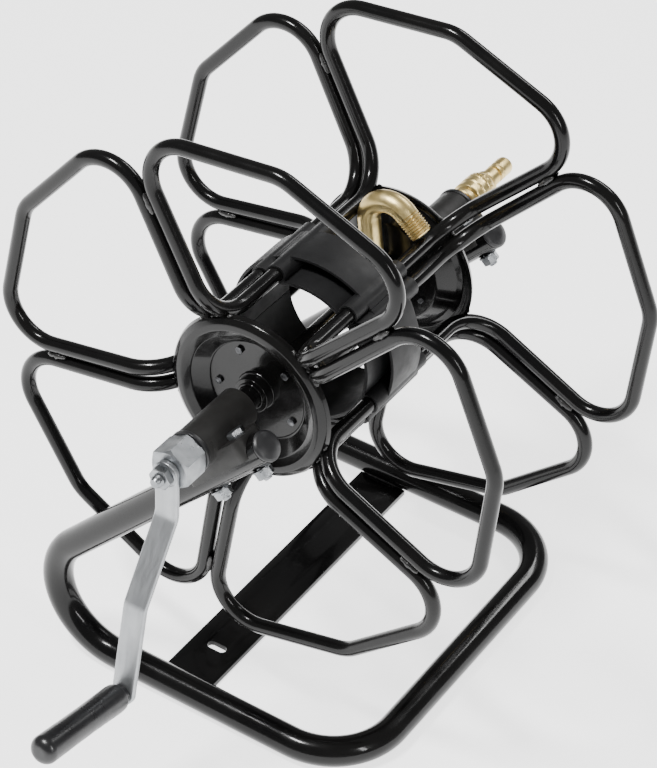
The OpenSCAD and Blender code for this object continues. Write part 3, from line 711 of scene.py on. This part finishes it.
def add_waterway():
    neck_in = Vector((-math.sin(NECK_LEAN), 0, math.cos(NECK_LEAN)))
    neck_out = Vector((math.cos(NECK_FALL), 0, -math.sin(NECK_FALL)))
    angle = math.pi / 2 + NECK_FALL + NECK_LEAN
    trim = NECK_BEND_R * math.tan(angle / 2)
    base = HUB + Vector((0, NECK_Y, 0))
    corner = base + neck_in * (NECK_RISE + trim)
    end = corner + neck_out * (trim + 3)
    neck = Shape()
    path = rounded_path([base + neck_in * 5, corner, end], [NECK_BEND_R], 3)
    neck.add(*sweep(path, round_section(NECK_R, 40)))
    points = []
    across = neck_in.cross(Vector((0, 1, 0)))
    for k in range(37):
        a = math.radians(10 * k)
        out = across * math.cos(a) * (NECK_R + 0.4)
        along = Vector((0, 1, 0)) * (math.sin(a) * (NECK_R + 0.4))
        lift = math.sqrt(max(0.0, (AXLE_R + 0.6) ** 2 - (out.length * 0.98) ** 2))
        points.append(base + out + along + neck_in * lift)
    neck.add(*bead(points, 1.6, 3))
    add_piece("brass_gooseneck", neck.verts, neck.faces, "brass", "reel", ("gooseneck",), 50)

    ferrule = Shape()
    outline = [(FERRULE_BORE_R, 0), (NECK_R - 0.7, 0), (NECK_R, 0.6)]
    pitch = (FERRULE_L - 2.2) / FERRULE_RIBS
    for i in range(FERRULE_RIBS):
        at = 1.0 + i * pitch
        outline += [(NECK_R, at + 0.15 * pitch), (NECK_R, at + 0.5 * pitch),
                    (NECK_R - RIB_DEPTH, at + 0.68 * pitch), (NECK_R - RIB_DEPTH, at + 0.88 * pitch)]
    outline += [(NECK_R - 0.1, FERRULE_L - 1.0), (NECK_R - 0.9, FERRULE_L), (FERRULE_BORE_R, FERRULE_L),
                (FERRULE_BORE_R, 0)]
    ferrule.add(*lathe(outline, 64), frame_at(end, neck_out, (0, 1, 0)))
    add_piece("brass_hose_tail", ferrule.verts, ferrule.faces, "brass", "reel",
              ("gooseneck_ferrule",), 40)

    on_axle = along_axle(0, 1)
    stem = Shape()
    stem.add(*hexagon(STEM_FLATS, STEM_Y, STEM_Y + 6, True, False, 144), on_axle)
    stem_end = STEM_Y + STEM_L
    stem.add(*lathe([(0, STEM_Y + 5), (STEM_R, STEM_Y + 5), (STEM_R, stem_end), (0, stem_end)], 48), on_axle)
    add_piece("brass_stem", stem.verts, stem.faces, "brass", "reel", ("inlet_stem", "inlet_seals"), 25)

    y = SWIVEL_Y
    body = [(7.6, y), (12.2, y), (13, y + 0.8), (13, y + 4.6), (12.2, y + 5.6), (11.6, y + 6.2),
            (11.6, y + 7.2), (13.4, y + 8.2), (14, y + 9.2), (14, y + 15.2), (13.5, y + 16),
            (12.9, y + 16.6), (13.5, y + 17.2), (14, y + 18), (14, y + 24), (13.5, y + 24.8),
            (12.9, y + 25.4), (13.4, y + 26), (13.7, y + 26.8), (13.2, y + 31.4), (11.4, y + 34.4),
            (9.6, y + 35.6), (9.2, y + 36.6), (10.2, y + 37.4), (10.2, y + 39.3), (9.5, y + 40),
            (7.6, y + 40), (7.6, y)]
    swivel = Shape()
    swivel.add(*lathe(body, 96), on_axle)
    for k in range(SWIVEL_FLUTES):
        outward = Matrix.Rotation(math.radians(360 / SWIVEL_FLUTES * k), 3, "Y") @ Vector((1, 0, 0))
        place = HUB + Vector((0, y + 29, 0)) + outward * 13.3
        swivel.add(*hexagon(1.5, -0.5, 0.5, True, False, 24), frame_at(place, outward, (0, 1, 0)))
    add_piece("brass_swivel_nut", swivel.verts, swivel.faces, "brass", "inlet", ("inlet_swivel",), 25)

    y = SWIVEL_END
    tail = [(4.5, y - 5), (7.9, y - 5), (8, y - 0.2), (8, y + 9.6), (6.9, y + 10.4), (6.6, y + 12.6),
            (8, y + 13.2), (8, y + 15.4), (7, y + 17), (8, y + 17.8), (8, y + 28), (7.5, y + 30.4),
            (6.4, y + 31.6), (5.2, y + 32), (4.5, y + 31.4), (4.5, y - 5)]
    nipple = Shape()
    nipple.add(*lathe(tail, 64), on_axle)
    add_piece("brass_inlet_tail", nipple.verts, nipple.faces, "brass", "inlet", ("inlet_nipple",), 25)


# --- Stand --------------------------------------------------------------------------------------

def add_stand():
    run = (ARM_FOOT.z - TUBE_R) / math.sin(ARM_ANGLE)
    heel = ARM_FOOT - ARM_DIR * run
    tip = ARM_FOOT + ARM_DIR * ARM_BEYOND

    def at(point, side):
        return point + Vector((0, ARM_Y[side], 0))

    corner = Vector((FRONT_X, 0, TUBE_R))
    path = rounded_path([at(tip, -1), at(heel, -1), at(corner, -1), at(corner, 1), at(heel, 1), at(tip, 1)],
                        [FRAME_BEND_R] * 4, 4)
    tube = Shape()
    tube.add(*sweep(path, round_section(TUBE_R, 48)))
    add_piece("bent_tube", tube.verts, tube.faces, "black_paint", "stand", ("frame_tube",))

    welds = Shape()
    for side in (-1, 1):
        inner = ARM_Y[side] - side * 10.6
        for height, count, size in ((5.1, 21, 2.3), (0.9, 21, 0.8)):
            points = [Vector((-21 + 2.1 * k, inner + side * (0.9 if height > 3 else -0.4), height))
                      for k in range(count)]
            welds.add(*bead(points, size, 41 + side + int(height)))
    add_piece("strap_welds", welds.verts, welds.faces, "weld", "stand", sharp=60)

    plugs = Shape()
    for side in (-1, 1):
        on_tip = frame_at(at(tip, side), ARM_DIR)
        dome = rounded([(0, -13.8), (10.8, -13.8), (10.8, 0.05), (PLUG_R, 0.05), (PLUG_R, 1.9),
                        (11, 3.4), (7, 5.0), (3.2, 5.8), (0, 6.0)], 1.0)
        plugs.add(*lathe(dome, 72), on_tip)
    add_piece("arm_plugs", plugs.verts, plugs.faces, "black_plastic", "stand",
              ("tube_plug_near", "tube_plug_far"))

    bolts = Shape()
    for side in (-1, 1):
        for end in (-1, 1):
            spot = at(ARM_FOOT, side) + ARM_DIR * (end * BOLT_SPACING / 2)
            base = frame_at(spot, ARM_NORMAL, (0, 1, 0))
            flip = frame_at(spot, -ARM_NORMAL, (0, 1, 0))
            bolts.add(*hexagon(BOLT_FLATS, FOOT_TOP, FOOT_TOP + 5.3, True, False, 144), flip)
            bolts.add(*lathe([(0, -FOOT_TOP), (BOLT_R, -FOOT_TOP), (BOLT_R, 15), (0, 15)], 32), base)
            washer = ring(BOLT_R + 0.1, WASHER_R, TUBE_R + 0.02, WASHER_TOP, 0.4)
            bolts.add(*lathe(washer, 48), base)
            bolts.add(*hexagon(BOLT_FLATS, WASHER_TOP, WASHER_TOP + 6.5, True, True, 144), base)
            bolts.add(*threaded(BOLT_R, WASHER_TOP + 6.1, WASHER_TOP + 9, 1.25, 0.8), base)
    add_piece("block_fasteners", bolts.verts, bolts.faces, "zinc_steel", "stand",
              ("block_bolts", "block_washers", "block_nuts"), 25)


def softened(name, node, look, body, width, angle=32, extra=None):
    """Copy of a CAD node with its corners rounded as moulding or pressing leaves them."""
    mesh = frame["nodes"][node].data.copy()
    work = bmesh.new()
    work.from_mesh(mesh)
    bmesh.ops.remove_doubles(work, verts=work.verts, dist=2e-6)
    bmesh.ops.dissolve_limit(work, angle_limit=math.radians(1.0), verts=work.verts, edges=work.edges)
    work.to_mesh(mesh)
    work.free()
    mesh.materials.clear()
    rough = bpy.data.objects.new(name + "_rough", mesh)
    bpy.context.scene.collection.objects.link(rough)
    bevel = rough.modifiers.new("bevel", "BEVEL")
    bevel.width = width * MM
    bevel.segments = 3
    bevel.limit_method = "ANGLE"
    bevel.angle_limit = math.radians(angle)
    bpy.context.view_layer.update()
    shown = rough.evaluated_get(bpy.context.evaluated_depsgraph_get())
    done = bpy.data.meshes.new_from_object(shown)
    bpy.data.objects.remove(rough)
    verts = [v.co / MM for v in done.vertices]
    faces = [tuple(p.vertices) for p in done.polygons]
    if extra:
        shape = Shape()
        shape.add(verts, faces)
        extra(shape)
        verts, faces = shape.verts, shape.faces
    add_piece(name, verts, faces, look, body, (node,), 38)


def block_details(side):
    """Raised bands round a bearing housing's inner end."""
    def add(shape):
        start = ARM_Y[side] - side * 40
        for y0, y1, radius in ((0.2, 5.2, 16.95), (6.4, 8.0, 17.0)):
            shape.add(*lathe(ring(12.3, radius, y0, y1, 0.6), 72), along_axle(start, side))
    return add


def add_mouldings():
    for i in range(1, PETALS + 1):
        softened(f"drum_shell_{i}", f"drum_segment_{i}", "drum_plastic", "reel", 0.7)
    for name, side in (("near", -1), ("far", 1)):
        softened(f"{name}_bearing_housing", f"bearing_block_{name}", "housing_plastic", "stand", 0.9,
                 extra=block_details(side))
    softened("floor_plate", "floor_strap", "black_paint", "stand", 0.6)


# --- Stage -------------------------------------------------------------------------------------

FLOOR_HALF = 10.0
FLOOR_DROP = 0.0003
FLOOR_GLOW = 2.1
AMBIENT = 0.3
# name, place and size in metres, power in watts
LIGHTS = (("key", (-0.6, -1.0, 2.6), (0.6, 0.2), 75),
          ("fill", (2.4, -0.8, 1.6), (0.25, 1.2), 22),
          ("back", (0.4, 2.2, 2.2), (1.6, 0.3), 30))


def add_floor():
    mesh = bpy.data.meshes.new("floor")
    corners = [(x * FLOOR_HALF, y * FLOOR_HALF, -FLOOR_DROP) for x, y in ((-1, -1), (1, -1), (1, 1), (-1, 1))]
    mesh.from_pydata(corners, [], [(0, 1, 2, 3)])
    floor = bpy.data.objects.new("floor", mesh)
    bpy.context.scene.collection.objects.link(floor)
    material, _, shader = new_material("floor")
    shader.inputs["Base Color"].default_value = (0.9, 0.9, 0.9, 1)
    shader.inputs["Roughness"].default_value = 0.85
    shader.inputs["Emission Color"].default_value = (1, 1, 1, 1)
    shader.inputs["Emission Strength"].default_value = FLOOR_GLOW
    mesh.materials.append(material)


def add_lights():
    for name, place, size, power in LIGHTS:
        data = bpy.data.lights.new(name, "AREA")
        data.shape = "RECTANGLE"
        data.size, data.size_y = size
        data.energy = power
        light = bpy.data.objects.new(name, data)
        aim = (AXLE - Vector(place)).to_track_quat("-Z", "Y")
        light.matrix_world = Matrix.Translation(place) @ aim.to_matrix().to_4x4()
        bpy.context.scene.collection.objects.link(light)
    world = bpy.data.worlds.new("world")
    world.use_nodes = True
    background = world.node_tree.nodes["Background"]
    background.inputs["Color"].default_value = (1, 1, 1, 1)
    background.inputs["Strength"].default_value = AMBIENT
    bpy.context.scene.world = world


add_camera()
dress_nodes()
add_discs()
add_hub()
add_crank()
add_waterway()
add_stand()
add_mouldings()
add_floor()
add_lights()
